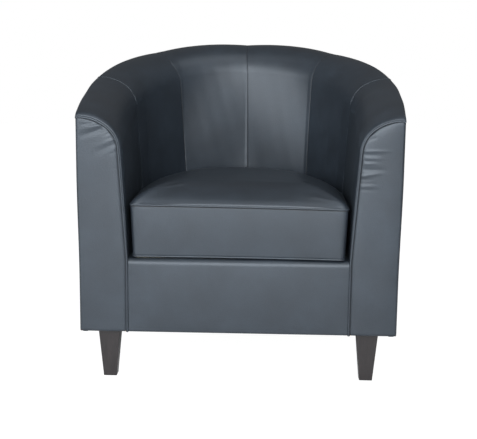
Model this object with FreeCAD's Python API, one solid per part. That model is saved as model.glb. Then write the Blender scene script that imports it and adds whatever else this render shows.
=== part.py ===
import FreeCAD, Part
import math
import os
from FreeCAD import Vector

# Tub chair, millimetres. +Z is up, the seat faces -Y, the origin is on the floor under the middle.

# Outside of the chair
overall_width = 750.0
overall_depth = 645.0
back_height = 784.0
arm_height = 624.0
leg_height = 118.0

# Plan of the outer wall: straight arms, then three tangent arcs a side round to the middle of the back
arm_straight = 230.0
shoulder_turn = 24.0
corner_turn = 68.5
corner_radius = 330.0
arm_seam_turn = 16.0
back_seam_turn = 51.5

# Skins and fits
leather = 1.5
fit_gap = 0.3
piping_radius = 2.5
facing_recess = 3.5

# Padded wall in section: hem over the outside, rounded rim, leaning inner face
hem = 3.0
hem_drop = 14.0
cover_tuck = 2.0
rim_corner = 6.0
crown_radius = 108.0
crown_turn = 37.0
shoulder_radius = 73.0
wall_depth = 118.0
lean_start = 294.0
foam_depth = 28.2
panel_puff = 2.0
panel_bulge = 5.0
seam_bulge = 0.6
arm_bulge = 2.5
arm_swell = 6.0
arm_swell_run = 30.0

# Timber frame
ply = 18.0
hardboard = 3.0
base_board = 22.0
base_rail_width = 106.0
rail_drop = 32.0
rail_width = 60.0
front_rail_height = 140.5
rib_overrun = 5.0
back_rail_inset = 190.0
back_rail_height = 45.0

# Seat suspension and deck
wire_radius = 1.9
spring_count = 5
spring_spacing = 78.0
spring_width = 46.0
spring_turns = 20
clip_plate = 1.2
clip_width = 26.0
clip_foot = 14.0
felt = 5.0
deck_foam = 21.0
deck_cloth = 1.0
deck_round = 14.0
border_return = 71.0
dust_cloth = 0.8

# Seat cushion
cushion_gap = 2.5
cushion_taper = 5.0
cushion_front_gap = 2.0
cushion_front_taper = 2.0
cushion_height = 118.0
cushion_corner = 11.0
cushion_draw = 5.0
cushion_piping = 2.3
crown_rise = 40.0
crown_reach = 128.0
crown_power = 2.0
crown_levels = 5
zip_length = 236.0
zip_tape = 22.0
zip_cloth = 1.0
zip_teeth = 4.0
zip_ridge = 1.3
slider_length = 12.0
slider_height = 9.0
slider_shell = 1.4
slider_rest_turn = 21.0

# Legs and their fixings
leg_top = 51.0
leg_foot = 31.0
leg_edge = 2.0
front_leg_across = 306.0
front_leg_back = 50.0
rear_leg_turn = 42.0
rear_leg_inset = 60.0
bolt_radius = 3.9
bolt_in_leg = 45.0
bolt_above = 2.0
thread_gap = 0.1
nut_barrel = 5.0
nut_barrel_length = 13.0
nut_flange = 11.0
nut_plate = 1.6

# Places that follow from the sizes above
front = -overall_depth / 2
half_path = overall_width / 2 - hem - fit_gap
bend_y = front + arm_straight
back_reach = overall_depth - arm_straight - hem - fit_gap
rim_u = -(hem + fit_gap)
crown_u = rim_u + rim_corner
face_u = rim_u + wall_depth
skin_depth = leather + fit_gap
pad_depth = skin_depth + foam_depth
board_depth = pad_depth + fit_gap
rib_depth = board_depth + hardboard + fit_gap
outer_board_u = leather + fit_gap
frame_u = outer_board_u + hardboard + fit_gap
pad_front = front + 2 * piping_radius + fit_gap
rail_front = pad_front + base_board + fit_gap
arm_frame_front = pad_front + ply + fit_gap
underside = leg_height
base_bottom = leg_height + leather
base_top = base_bottom + base_board
seat_rail_top = base_bottom + front_rail_height
back_rail_y = overall_depth / 2 - back_rail_inset
spring_z = seat_rail_top + clip_plate + fit_gap + wire_radius
felt_z = spring_z + wire_radius + 2 * fit_gap + clip_plate
deck_z = felt_z + felt
deck_top = deck_z + deck_foam
cloth_z = deck_top + fit_gap
cushion_floor = cloth_z + leather + fit_gap

z_axis = Vector(0, 0, 1)


def wall_arcs():
    """Centres and radii of the three arcs, for the corner radius and the turns given."""
    c1, s1 = math.cos(math.radians(shoulder_turn)), math.sin(math.radians(shoulder_turn))
    c2, s2 = math.cos(math.radians(corner_turn)), math.sin(math.radians(corner_turn))
    across = half_path - corner_radius * (c1 - c2)
    along = back_reach + corner_radius * (s1 - s2)
    share = (1 - c1) * (1 - s2) - c2 * s1
    side = (across * (1 - s2) - c2 * along) / share
    back = ((1 - c1) * along - s1 * across) / share
    side_centre = (half_path - side, bend_y)
    corner_centre = (side_centre[0] + (side - corner_radius) * c1, bend_y + (side - corner_radius) * s1)
    back_centre = (0.0, bend_y + back_reach - back)
    return (
        (side_centre, side, 0.0, shoulder_turn),
        (corner_centre, corner_radius, shoulder_turn, corner_turn),
        (back_centre, back, corner_turn, 90.0),
    )


arcs = wall_arcs()
back_arc_centre, back_arc_radius = arcs[2][0], arcs[2][1]


def plan_point(turn, inset):
    """A point of the wall's plan, set in from the outer cover; past 90 degrees it is the left side."""
    if turn > 90:
        x, y = plan_point(180 - turn, inset)
        return -x, y
    for centre, radius, start, end in arcs:
        if turn <= end:
            break
    a = math.radians(turn)
    return centre[0] + (radius - inset) * math.cos(a), centre[1] + (radius - inset) * math.sin(a)


def rim_height(y):
    return arm_height + (back_height - arm_height) * (y - front) / (overall_depth - hem - fit_gap)


class Station:
    """An upright plane across the wall, at a turn round the back or at a place along the arm."""

    def __init__(self, turn=0.0, y=None, bulge=seam_bulge, puff=0.0):
        self.turn = turn
        self.x, self.y = (half_path, y) if y is not None else plan_point(turn, 0)
        self.rim = rim_height(self.y)
        self.bulge = bulge
        self.puff = puff

    def at(self, u, z):
        a = math.radians(self.turn)
        return Vector(self.x - u * math.cos(a), self.y - u * math.sin(a), z)


def panel_stations(start, end, count=3):
    """A sewn panel: full in the middle and drawn to the seams at both ends."""
    out = []
    for i in range(count + 1):
        full = math.sin(math.pi * i / count)
        out.append(Station(start + (end - start) * i / count, None, seam_bulge + panel_bulge * full, panel_puff * full))
    return out


def line(a, b):
    return Part.LineSegment(a, b).toShape()


def arc(a, b, c):
    return Part.Arc(a, b, c).toShape()


def polygon(points):
    return Part.Wire([line(a, b) for a, b in zip(points, points[1:] + points[:1])])


def roll_points(rim, depth, bulge, puff):
    """The padded surface in section at a depth under the skin: rim, crown, shoulder and leaning face."""
    a1 = math.radians(crown_turn)
    crown = crown_radius - depth + puff
    shoulder = shoulder_radius - depth + puff
    crown_centre = (crown_u, rim - crown_radius)
    reach = crown_radius - shoulder_radius
    centre = (crown_u + reach * math.sin(a1), crown_centre[1] + reach * math.cos(a1))
    foot = (face_u - depth, lean_start)
    du, dz = foot[0] - centre[0], foot[1] - centre[1]
    last = math.atan2(dz, du) + math.acos(shoulder / math.hypot(du, dz))
    first = math.pi / 2 - a1

    def on(c, r, a):
        return (c[0] + r * math.cos(a), c[1] + r * math.sin(a))

    tangent = on(centre, shoulder, last)
    middle = ((tangent[0] + foot[0]) / 2 + bulge, (tangent[1] + foot[1]) / 2)
    return (
        on(crown_centre, crown, math.pi / 2),
        on(crown_centre, crown, math.pi / 2 - a1 / 2),
        on(crown_centre, crown, first),
        on(centre, shoulder, (first + last) / 2),
        tangent,
        middle,
        foot,
    )


def roll_edges(station, depth, turned=False):
    """Three arcs along the padded surface, from the rim down to where the face goes upright."""
    points = roll_points(station.rim, depth, station.bulge, station.puff)
    p = [station.at(u, z) for u, z in points]
    p = p[::-1] if turned else p
    return [arc(p[0], p[1], p[2]), arc(p[2], p[3], p[4]), arc(p[4], p[5], p[6])], p[0], p[6]


def cover_section(bottom):
    def build(s):
        outer, top, foot = roll_edges(s, 0.0)
        inner, foot_in, top_in = roll_edges(s, leather, turned=True)
        rim = s.rim + s.puff
        lip_out = s.at(rim_u, s.rim - hem_drop)
        lip_up = s.at(rim_u, rim - rim_corner)
        corner = rim_corner * (1 - math.sqrt(0.5))
        corner_mid = s.at(rim_u + corner, rim - corner)
        low_out = Vector(foot.x, foot.y, bottom)
        low_in = Vector(foot_in.x, foot_in.y, bottom)
        hem_in = s.at(rim_u + hem, rim - leather)
        lip_in = s.at(rim_u + hem, s.rim - hem_drop)
        edges = [line(lip_out, lip_up), arc(lip_up, corner_mid, top)] + outer
        edges += [line(foot, low_out), line(low_out, low_in), line(low_in, foot_in)] + inner
        edges += [line(top_in, hem_in), line(hem_in, lip_in), line(lip_in, lip_out)]
        return Part.Wire(edges)

    return build


def frame_line(s, depth, z):
    """How far in the leaning frame line lies at a height: upright low down, then up to the top rail."""
    low = face_u - depth
    high = frame_u + rail_width + pad_depth + fit_gap - depth
    top = s.rim - rail_drop
    if z <= lean_start:
        return low
    return low + (high - low) * (z - lean_start) / (top - lean_start)


def foam_section(bottom):
    def build(s):
        outer, top, foot = roll_edges(s, skin_depth)
        low_out = Vector(foot.x, foot.y, bottom)
        low_in = s.at(face_u - pad_depth, bottom)
        knee = s.at(face_u - pad_depth, lean_start)
        seat = s.rim - rail_drop + fit_gap
        rail_in = s.at(frame_line(s, pad_depth, seat), seat)
        rail_out = s.at(crown_u, seat)
        edges = outer + [line(foot, low_out), line(low_out, low_in), line(low_in, knee)]
        edges += [line(knee, rail_in), line(rail_in, rail_out), line(rail_out, top)]
        return Part.Wire(edges)

    return build


def strip_section(u, thickness, bottom, drop):
    """An upright strip of wall from a fixed height to a drop below the rim."""

    def build(s):
        top = s.rim - drop
        return polygon([s.at(u, bottom), s.at(u, top), s.at(u + thickness, top), s.at(u + thickness, bottom)])

    return build


def inner_board_section(s):
    top = s.rim - rail_drop - ply - fit_gap
    corners = []
    for depth in (board_depth, board_depth + hardboard):
        side = [(face_u - depth, base_top + fit_gap), (face_u - depth, lean_start), (frame_line(s, depth, top), top)]
        corners += side if not corners else side[::-1]
    return polygon([s.at(u, z) for u, z in corners])


def top_rail_section(s):
    top = s.rim - rail_drop
    low = top - ply
    far = frame_u + rail_width
    return polygon([s.at(frame_u, low), s.at(frame_u, top), s.at(far, top), s.at(far, low)])


def base_rail_section(s):
    far = frame_u + base_rail_width
    return polygon([s.at(frame_u, base_bottom), s.at(frame_u, base_top), s.at(far, base_top), s.at(far, base_bottom)])


def band(stations, section):
    return Part.makeLoft([section(s) for s in stations], True, False)


def mirrored(shape):
    return shape.mirror(Vector(0, 0, 0), Vector(1, 0, 0))


def arm_band(start, section):
    """The arm run of the wall: it swells up behind its front edge, then turns up to the seam."""
    first = Station(y=start)
    swollen = Station(y=start + arm_swell_run, puff=arm_swell)
    bend = Station(bulge=arm_bulge)
    middle = Station(arm_seam_turn / 2, bulge=arm_bulge)
    straight = Part.makeLoft([section(first), section(swollen), section(bend)], True, True)
    return straight.fuse(band([bend, middle, Station(arm_seam_turn)], section)).removeSplitter()


def side_panel(section):
    return band(panel_stations(arm_seam_turn, back_seam_turn), section)


def back_panel(section):
    return band(panel_stations(back_seam_turn, 90.0), section)


def side_band(start, section):
    """One piece from the arm front round to the back seam."""
    return arm_band(start, section).fuse(side_panel(section)).removeSplitter()


def back_band(section):
    """One piece between the two back seams."""
    half = back_panel(section)
    return half.fuse(mirrored(half)).removeSplitter()


def plan_wire(inset, front_y, z, corner=0.0, draw=0.0):
    """The D shape inside the wall at one inset; the front may be drawn in, with rounded corners."""
    half = half_path - inset
    edges = []
    start = Vector(half, front_y, z)
    front_left = Vector(-half, front_y, z)
    if corner:
        big = (half * half + draw * draw) / (2 * draw)
        sag_y = front_y + draw - big
        centre = (half - corner, sag_y + math.sqrt((big + corner) ** 2 - (half - corner) ** 2))
        start = Vector(half, centre[1], z)
        pull = big / (big + corner)
        touch = Vector(centre[0] * pull, sag_y + (centre[1] - sag_y) * pull, z)
        away = math.atan2(touch.y - centre[1], touch.x - centre[0]) / 2
        round_mid = Vector(centre[0] + corner * math.cos(away), centre[1] + corner * math.sin(away), z)
        front_left = Vector(-touch.x, touch.y, z)
        left_start = Vector(-half, centre[1], z)
        left_mid = Vector(-round_mid.x, round_mid.y, z)
    edges.append(line(start, Vector(half, bend_y, z)))
    marks = [arcs[0][2], arcs[0][3], arcs[1][3], 180 - arcs[1][3], 180 - arcs[0][3], 180.0]
    for first, last in zip(marks, marks[1:]):
        three = [Vector(*plan_point(turn, inset), z) for turn in (first, (first + last) / 2, last)]
        edges.append(arc(*three))
    if corner:
        edges.append(line(Vector(-half, bend_y, z), left_start))
        edges.append(arc(left_start, left_mid, front_left))
        edges.append(arc(front_left, Vector(0, front_y + draw, z), touch))
        edges.append(arc(touch, round_mid, start))
    else:
        edges.append(line(Vector(-half, bend_y, z), front_left))
        edges.append(line(front_left, start))
    return Part.Wire(edges)


def plan_slab(inset, front_y, z, height):
    return Part.Face(plan_wire(inset, front_y, z)).extrude(Vector(0, 0, height))


def box(x0, x1, y0, y1, z0, z1):
    return Part.makeBox(x1 - x0, y1 - y0, z1 - z0, Vector(x0, y0, z0))


def pipe(path, radius, start, along):
    ring = Part.Wire(Part.Circle(start, along, radius).toShape())
    return Part.Wire(path).makePipeShell([ring], True, False)


def finish(shape):
    """One clean solid, or a group when the shape holds several."""
    solids = shape.Solids
    return solids[0] if len(solids) == 1 else Part.makeCompound(solids)


nodes = {}


def pair(name, shape):
    nodes[name + "_right"] = shape
    nodes[name + "_left"] = mirrored(shape)


def make_wall():
    foam = foam_section(felt_z)
    pair("arm_foam", arm_band(pad_front, foam))
    pair("side_foam", side_panel(foam))
    nodes["back_foam"] = back_band(foam)
    cover = cover_section(felt_z)
    pair("arm_cover", arm_band(pad_front, cover))
    pair("side_cover", side_panel(cover))
    pair("back_cover", back_panel(cover))
    outer_cover = strip_section(0.0, leather, underside, rim_corner + cover_tuck)
    outer_board = strip_section(outer_board_u, hardboard, base_bottom, rail_drop)
    pair("outer_cover", side_band(front + facing_recess, outer_cover))
    pair("outer_board", side_band(pad_front, outer_board))
    nodes["outer_cover_back"] = back_band(outer_cover)
    nodes["outer_board_back"] = back_band(outer_board)
    pair("inner_board", side_band(arm_frame_front, inner_board_section))
    nodes["inner_board_back"] = back_band(inner_board_section)


def make_front():
    """The arm facings, the piping round them and the leather border under the cushion."""
    s = Station(y=front)
    rim_edge = 2 * piping_radius + fit_gap
    edges, top, foot = roll_edges(s, rim_edge)
    side_u = outer_board_u
    high = Vector(s.at(side_u, 0).x, front, top.z)
    low_out = Vector(high.x, front, underside)
    low_in = Vector(foot.x, front, underside)
    outline = edges + [line(foot, low_in), line(low_in, low_out), line(low_out, high), line(high, top)]
    facing = Part.Face(Part.Wire(outline)).extrude(Vector(0, leather, 0))
    facing.translate(Vector(0, facing_recess, 0))
    pair("arm_facing", facing)

    s = Station(y=front + piping_radius)
    s.rim = rim_height(front)
    edges, top, foot = roll_edges(s, piping_radius)
    start = s.at(rim_u + piping_radius, s.rim - rim_corner)
    small = rim_corner - piping_radius
    bend = s.at(crown_u - small * math.sqrt(0.5), s.rim - rim_corner + small * math.sqrt(0.5))
    path = [arc(start, bend, top)] + edges + [line(foot, Vector(foot.x, foot.y, underside))]
    pair("facing_piping", pipe(path, piping_radius, start, z_axis))

    half = half_path - face_u - fit_gap
    outer_y = front + facing_recess
    outer_top = cloth_z + leather
    section = []
    for y, top_z, radius in (
        (outer_y, outer_top, deck_round),
        (outer_y + leather, cloth_z, deck_round - leather),
    ):
        diagonal = radius * (1 - math.sqrt(0.5))
        low = Vector(-half, y, underside)
        up = Vector(-half, y, top_z - radius)
        mid = Vector(-half, y + diagonal, top_z - diagonal)
        over = Vector(-half, y + radius, top_z)
        back = Vector(-half, front + facing_recess + border_return, top_z)
        section.append((low, up, mid, over, back))
    (a0, a1, a2, a3, a4), (b0, b1, b2, b3, b4) = section
    edges = [line(a0, a1), arc(a1, a2, a3), line(a3, a4), line(a4, b4), line(b4, b3), arc(b3, b2, b1), line(b1, b0)]
    border = Part.Face(Part.Wire(edges + [line(b0, a0)])).extrude(Vector(2 * half, 0, 0))
    nodes["front_border_cover"] = border


def leg_places():
    rear_x, rear_y = plan_point(rear_leg_turn, rear_leg_inset)
    front_y = front + front_leg_back
    return (
        ("front", "right", front_leg_across, front_y),
        ("front", "left", -front_leg_across, front_y),
        ("rear", "right", rear_x, rear_y),
        ("rear", "left", -rear_x, rear_y),
    )


def square(x, y, side, z):
    h = side / 2
    return polygon([Vector(x + i * h, y + j * h, z) for i, j in ((-1, -1), (1, -1), (1, 1), (-1, 1))])


def make_legs():
    """Tapered legs on hanger bolts, which screw into tee nuts let into the base rails."""
    bolts, nuts, holes, squares = [], [], [], []
    bolt_low = base_bottom - bolt_in_leg
    nut_low = base_top - nut_barrel_length
    for end, hand, x, y in leg_places():
        leg = Part.makeLoft([square(x, y, leg_foot, 0), square(x, y, leg_top, base_bottom)], True, True)
        upright = [e for e in leg.Edges if e.BoundBox.ZLength > base_bottom / 2]
        leg = leg.makeFillet(leg_edge, upright)
        bolt_hole = Part.makeCylinder(bolt_radius + thread_gap, bolt_in_leg, Vector(x, y, bolt_low))
        nodes[end + "_leg_" + hand] = leg.cut(bolt_hole)
        length = base_top + nut_plate + bolt_above - bolt_low - thread_gap
        bolts.append(Part.makeCylinder(bolt_radius, length, Vector(x, y, bolt_low + thread_gap)))
        barrel = Part.makeCylinder(nut_barrel, nut_barrel_length, Vector(x, y, nut_low))
        flange = Part.makeCylinder(nut_flange, nut_plate, Vector(x, y, base_top))
        bore = Part.makeCylinder(bolt_radius + thread_gap, length, Vector(x, y, bolt_low))
        nuts.append(barrel.fuse(flange).removeSplitter().cut(bore))
        holes.append(Part.makeCylinder(nut_barrel + thread_gap, base_board, Vector(x, y, base_bottom)))
        squares.append(square(x, y, leg_top + 2 * fit_gap, base_bottom - dust_cloth))
    nodes["leg_bolts"] = Part.makeCompound(bolts)
    nodes["tee_nuts"] = Part.makeCompound(nuts)
    return holes, squares


def make_frame(holes, squares):
    top_right = side_band(arm_frame_front, top_rail_section)
    top_back = back_band(top_rail_section)
    pair("top_rail", top_right)
    nodes["top_rail_back"] = top_back

    base_right = side_band(rail_front, base_rail_section)
    base_back = back_band(base_rail_section)
    for hole in holes:
        base_right = base_right.cut(hole)
        base_back = base_back.cut(hole)
    pair("base_rail", base_right)
    nodes["base_rail_back"] = base_back

    s = Station(y=pad_front)
    top = s.rim - rail_drop
    far = frame_line(s, board_depth, top)
    low = face_u - board_depth
    outline = [(frame_u, base_bottom), (frame_u, top), (far, top), (low, lean_start), (low, base_bottom)]
    panel = Part.Face(polygon([s.at(u, z) for u, z in outline])).extrude(Vector(0, ply, 0))
    pair("arm_front_panel", panel)

    for name, turn in (("side_rib", arm_seam_turn), ("back_rib", back_seam_turn), ("middle_rib", 90.0)):
        s = Station(turn)
        top = s.rim - rail_drop - ply + rib_overrun
        far = frame_line(s, rib_depth, top)
        low = face_u - rib_depth
        start = base_top + fit_gap
        outline = [(frame_u, start), (frame_u, top), (far, top), (low, lean_start), (low, start)]
        a = math.radians(turn)
        along = Vector(-math.sin(a), math.cos(a), 0)
        rib = Part.Face(polygon([s.at(u, z) for u, z in outline])).extrude(along * ply)
        rib.translate(along * (-ply / 2))
        rib = rib.cut(top_right).cut(top_back).cut(mirrored(top_back))
        rib = max(rib.Solids, key=lambda solid: solid.Volume)
        if name == "middle_rib":
            nodes[name] = rib
        else:
            pair(name, rib)

    half = half_path - face_u + pad_depth
    nodes["front_rail"] = box(-half, half, pad_front, pad_front + base_board, base_bottom, seat_rail_top)
    rail_low = seat_rail_top - back_rail_height
    rail = box(-half_path, half_path, back_rail_y, back_rail_y + base_board, rail_low, seat_rail_top)
    well = plan_slab(face_u - pad_depth, front, base_bottom, front_rail_height)
    nodes["back_seat_rail"] = rail.common(well)

    dust = plan_slab(outer_board_u + fit_gap, pad_front, base_bottom - dust_cloth, dust_cloth)
    for outline in squares:
        dust = dust.cut(Part.Face(outline).extrude(Vector(0, 0, dust_cloth)))
    nodes["dust_cover"] = dust


def make_seat():
    """Sinuous springs in clips, then felt, deck foam and deck cloth."""
    first_y = pad_front + base_board / 2
    last_y = back_rail_y + base_board / 2
    pitch = (last_y - first_y) / spring_turns
    turn = pitch / 2
    bar = spring_width / 2 - turn
    springs, clips = [], []
    for i in range(spring_count):
        x = (i - (spring_count - 1) / 2) * spring_spacing
        hand = 1
        path = []
        start = Vector(x - bar, first_y, spring_z)
        for k in range(spring_turns):
            y = first_y + k * pitch
            a = Vector(x - hand * bar, y, spring_z)
            b = Vector(x + hand * bar, y, spring_z)
            far = Vector(x + hand * (bar + turn), y + turn, spring_z)
            c = Vector(x + hand * bar, y + pitch, spring_z)
            corner = turn * math.sqrt(0.5)
            low = Vector(x + hand * (bar + corner), y + turn - corner, spring_z)
            high = Vector(x + hand * (bar + corner), y + turn + corner, spring_z)
            path += [line(a, b), arc(b, low, far), arc(far, high, c)]
            hand = -hand
        path.append(line(Vector(x - hand * bar, last_y, spring_z), Vector(x + hand * bar, last_y, spring_z)))
        springs.append(pipe(path, wire_radius, start, Vector(1, 0, 0)))
        for y in (first_y, last_y):
            width = min(clip_width, 2 * bar)
            left = Vector(x - width / 2, y, spring_z)
            sleeve = wire_radius + fit_gap
            curl = Part.makeCylinder(sleeve + clip_plate, width, left, Vector(1, 0, 0))
            bore = Part.makeCylinder(sleeve, width, left, Vector(1, 0, 0))
            near, far = y - clip_foot / 2, y + clip_foot / 2
            foot = box(x - width / 2, x + width / 2, near, far, seat_rail_top, seat_rail_top + clip_plate)
            room = box(x - width / 2, x + width / 2, near, far, seat_rail_top, felt_z)
            clips.append(curl.fuse(foot).cut(bore).common(room).removeSplitter())
    nodes["seat_springs"] = Part.makeCompound(springs)
    nodes["spring_clips"] = Part.makeCompound(clips)

    inset = face_u + fit_gap
    nodes["deck_felt"] = plan_slab(inset, pad_front, felt_z, felt)
    foam = plan_slab(inset, pad_front, deck_z, deck_foam)
    edge = [e for e in foam.Edges if e.BoundBox.YLength < 1 and e.BoundBox.XLength > 1 and e.BoundBox.ZMin > deck_z]
    nodes["deck_foam"] = foam.makeFillet(deck_round - leather - fit_gap, edge)
    cloth_front = front + facing_recess + border_return + fit_gap
    nodes["deck_cloth"] = plan_slab(inset, cloth_front, cloth_z, deck_cloth)


seam_low = cushion_floor + leather + fit_gap + cushion_piping
seam_high = seam_low + cushion_height
cushion_front = front + cushion_front_gap
cushion_u = face_u + cushion_gap


def cushion_wire(inset, z):
    """The cushion's outline at a height: a little smaller at the bottom, with a drawn-in front."""
    low = min(1.0, max(0.0, (seam_high - z) / cushion_height))
    front_y = cushion_front + inset + cushion_front_taper * low
    return plan_wire(cushion_u + inset + cushion_taper * low, front_y, z, cushion_corner, cushion_draw)


def cushion_loft(inset, z0, z1):
    return Part.makeLoft([cushion_wire(inset, z0), cushion_wire(inset, z1)], True, True)


def cushion_crown(inset, base):
    """The top, which rises steeply at the seam and eases to nearly flat in the middle."""
    wires = []
    for i in range(crown_levels + 1):
        share = i / crown_levels
        rise = crown_rise * (1 - (1 - share) ** crown_power)
        wires.append(cushion_wire(inset + crown_reach * share, base + rise))
    return Part.makeLoft(wires, True, False)


def seam_piping(z):
    wire = cushion_wire(cushion_piping, z)
    start = wire.Edges[0].Vertexes[0].Point
    return pipe(wire.Edges, cushion_piping, start, Vector(0, 1, 0))


def back_sector(inset_far, inset_near, turn, width_turn, z0, height):
    """A block round the back arc of the cushion, between two insets, centred on a turn."""
    far = back_arc_radius - inset_far
    near = back_arc_radius - inset_near
    centre = Vector(back_arc_centre[0], back_arc_centre[1], z0)

    def on(radius, a):
        a = math.radians(a)
        return centre + Vector(radius * math.cos(a), radius * math.sin(a), 0)

    a, b = turn - width_turn / 2, turn + width_turn / 2
    edges = [arc(on(far, a), on(far, turn), on(far, b)), line(on(far, b), on(near, b))]
    edges += [arc(on(near, b), on(near, turn), on(near, a)), line(on(near, a), on(far, a))]
    return Part.Face(Part.Wire(edges)).extrude(Vector(0, 0, height))


def make_cushion():
    skin = cushion_piping
    low = seam_low + cushion_piping + fit_gap
    high = seam_high - cushion_piping - fit_gap
    inside = 2 * cushion_piping + fit_gap
    crown_base = seam_high + cushion_piping + fit_gap

    body = cushion_loft(inside, cushion_floor + skin_depth, crown_base - skin_depth)
    core = body.fuse(cushion_crown(inside, crown_base - skin_depth))

    top = cushion_crown(skin, crown_base)
    hollow = cushion_crown(skin + leather, crown_base - leather)
    nodes["cushion_top_cover"] = top.cut(hollow)
    nodes["cushion_bottom_cover"] = cushion_loft(skin, cushion_floor, cushion_floor + leather)

    border = cushion_loft(skin, low, high).cut(cushion_loft(skin + leather, low, high))
    middle = (low + high) / 2
    half_zip = zip_length / 2
    tape_low, tape_high = middle - zip_tape / 2, middle + zip_tape / 2
    window = box(-half_zip, half_zip, 0, overall_depth, tape_low, tape_high)
    half_gap = half_zip + fit_gap
    opening = box(-half_gap, half_gap, 0, overall_depth, tape_low - fit_gap, tape_high + fit_gap)
    nodes["cushion_border"] = border.cut(opening)

    recess = (leather - zip_cloth) / 2
    tape = cushion_loft(skin + recess, tape_low, tape_high)
    tape = tape.cut(cushion_loft(skin + recess + zip_cloth, tape_low, tape_high)).common(window)
    teeth_low, teeth_high = middle - zip_teeth / 2, middle + zip_teeth / 2
    teeth = cushion_loft(skin + recess - zip_ridge, teeth_low, teeth_high)
    teeth = teeth.cut(cushion_loft(skin + recess + zip_cloth / 2, teeth_low, teeth_high)).common(window)
    nodes["cushion_zip"] = tape.fuse(teeth).removeSplitter()

    taper_mid = cushion_taper / 2
    tape_face = cushion_u + skin + recess + taper_mid
    ridge_face = tape_face - zip_ridge
    radius = back_arc_radius - ridge_face
    width_turn = math.degrees(slider_length / radius)
    rest_turn = 90 + slider_rest_turn
    slack = 2 * fit_gap
    outer = ridge_face - slack - slider_shell
    body = back_sector(outer, tape_face - slack, rest_turn, width_turn, middle - slider_height / 2, slider_height)
    channel_height = zip_teeth + 2 * slack
    channel = back_sector(ridge_face - slack, tape_face, rest_turn, 2 * width_turn,
                          middle - channel_height / 2, channel_height)
    nodes["zip_slider"] = body.cut(channel)

    nodes["cushion_core"] = core
    nodes["cushion_piping_bottom"] = seam_piping(seam_low)
    nodes["cushion_piping_top"] = seam_piping(seam_high)


make_wall()
make_front()
leg_holes, leg_squares = make_legs()
make_frame(leg_holes, leg_squares)
make_seat()
make_cushion()

os.makedirs("parts", exist_ok=True)
for name, shape in nodes.items():
    done = finish(shape)
    print(name, len(done.Solids), round(done.Volume), done.isValid())
    done.exportStep("parts/" + name + ".step")
print("nodes", len(nodes))
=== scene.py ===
import bpy
import math
import numpy as np
from mathutils import Matrix, Vector


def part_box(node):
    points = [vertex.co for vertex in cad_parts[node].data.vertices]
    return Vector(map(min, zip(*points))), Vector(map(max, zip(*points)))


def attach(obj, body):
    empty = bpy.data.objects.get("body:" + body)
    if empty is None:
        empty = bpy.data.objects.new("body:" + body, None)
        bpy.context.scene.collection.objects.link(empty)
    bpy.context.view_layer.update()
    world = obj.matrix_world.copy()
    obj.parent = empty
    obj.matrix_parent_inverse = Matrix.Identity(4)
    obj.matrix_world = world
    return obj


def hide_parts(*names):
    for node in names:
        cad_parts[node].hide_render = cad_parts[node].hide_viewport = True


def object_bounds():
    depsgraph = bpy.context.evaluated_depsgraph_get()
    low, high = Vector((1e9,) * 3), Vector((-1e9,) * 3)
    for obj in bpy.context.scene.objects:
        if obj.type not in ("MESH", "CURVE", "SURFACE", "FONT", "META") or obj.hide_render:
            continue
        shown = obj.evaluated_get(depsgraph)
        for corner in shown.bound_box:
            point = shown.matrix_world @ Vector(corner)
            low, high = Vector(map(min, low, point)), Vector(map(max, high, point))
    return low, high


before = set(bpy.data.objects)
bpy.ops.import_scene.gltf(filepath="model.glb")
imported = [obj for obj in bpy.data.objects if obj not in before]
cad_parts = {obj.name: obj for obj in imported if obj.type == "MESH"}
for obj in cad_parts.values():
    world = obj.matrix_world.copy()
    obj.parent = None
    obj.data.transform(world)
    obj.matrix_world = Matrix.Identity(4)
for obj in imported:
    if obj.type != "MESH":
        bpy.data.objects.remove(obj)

cadBox = [list(corner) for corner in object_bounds()]
mm = 0.001


def low(node, axis):
    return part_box(node)[0]["xyz".index(axis)]


def high(node, axis):
    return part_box(node)[1]["xyz".index(axis)]


# The wall of the chair: what can be changed, in metres and degrees
wall = {
    "front": low("facing_piping_right", "y"),
    "back": high("back_cover_right", "y"),
    "halfWidth": cadBox[1][0],
    "armHeight": high("facing_piping_right", "z"),
    "backHeight": 0.784,
    "underside": low("outer_cover_back", "z"),
    "tuck": low("arm_foam_right", "z"),
    "armStraight": 0.230,
    "shoulderTurn": 24.0,
    "cornerTurn": 68.5,
    "cornerRadius": 0.330,
    "armSeam": 16.0,
    "backSeam": 51.5,
    "leather": 1.2 * mm,
    "gap": 0.3 * mm,
    "hem": 3.0 * mm,
    "hemDrop": 14.0 * mm,
    "rimCorner": 6.0 * mm,
    "crownRadius": 0.108,
    "crownTurn": 37.0,
    "shoulderRadius": 0.073,
    "depth": 0.118,
    "leanStart": 0.294,
    "bulgeFoot": 0.400,       # behind the cushion the face is drawn flat
}
hemOut = wall["hem"] + wall["gap"]
halfPath = wall["halfWidth"] - hemOut
faceInset = wall["depth"] - hemOut
crownInset = wall["rimCorner"] - hemOut
bendY = wall["front"] + wall["armStraight"]


def wallArcs():
    """Three arcs tangent to the arm and to each other, found from the corner radius and the turns."""
    a, b = math.radians(wall["shoulderTurn"]), math.radians(wall["cornerTurn"])
    c1, s1, c2, s2 = math.cos(a), math.sin(a), math.cos(b), math.sin(b)
    reach = wall["back"] - hemOut - bendY
    corner = wall["cornerRadius"]
    across = halfPath - corner * (c1 - c2)
    along = reach + corner * (s1 - s2)
    share = (1 - c1) * (1 - s2) - c2 * s1
    side = (across * (1 - s2) - c2 * along) / share
    back = ((1 - c1) * along - s1 * across) / share
    sideX = halfPath - side
    cornerX, cornerY = sideX + (side - corner) * c1, bendY + (side - corner) * s1
    return ((sideX, bendY, side, 0.0, a), (cornerX, cornerY, corner, a, b),
            (0.0, bendY + reach - back, back, b, math.pi / 2))


arcs = wallArcs()
marks = np.cumsum([0.0, wall["armStraight"]] + [r * (end - start) for _, _, r, start, end in arcs])
halfLength = marks[-1]


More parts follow.
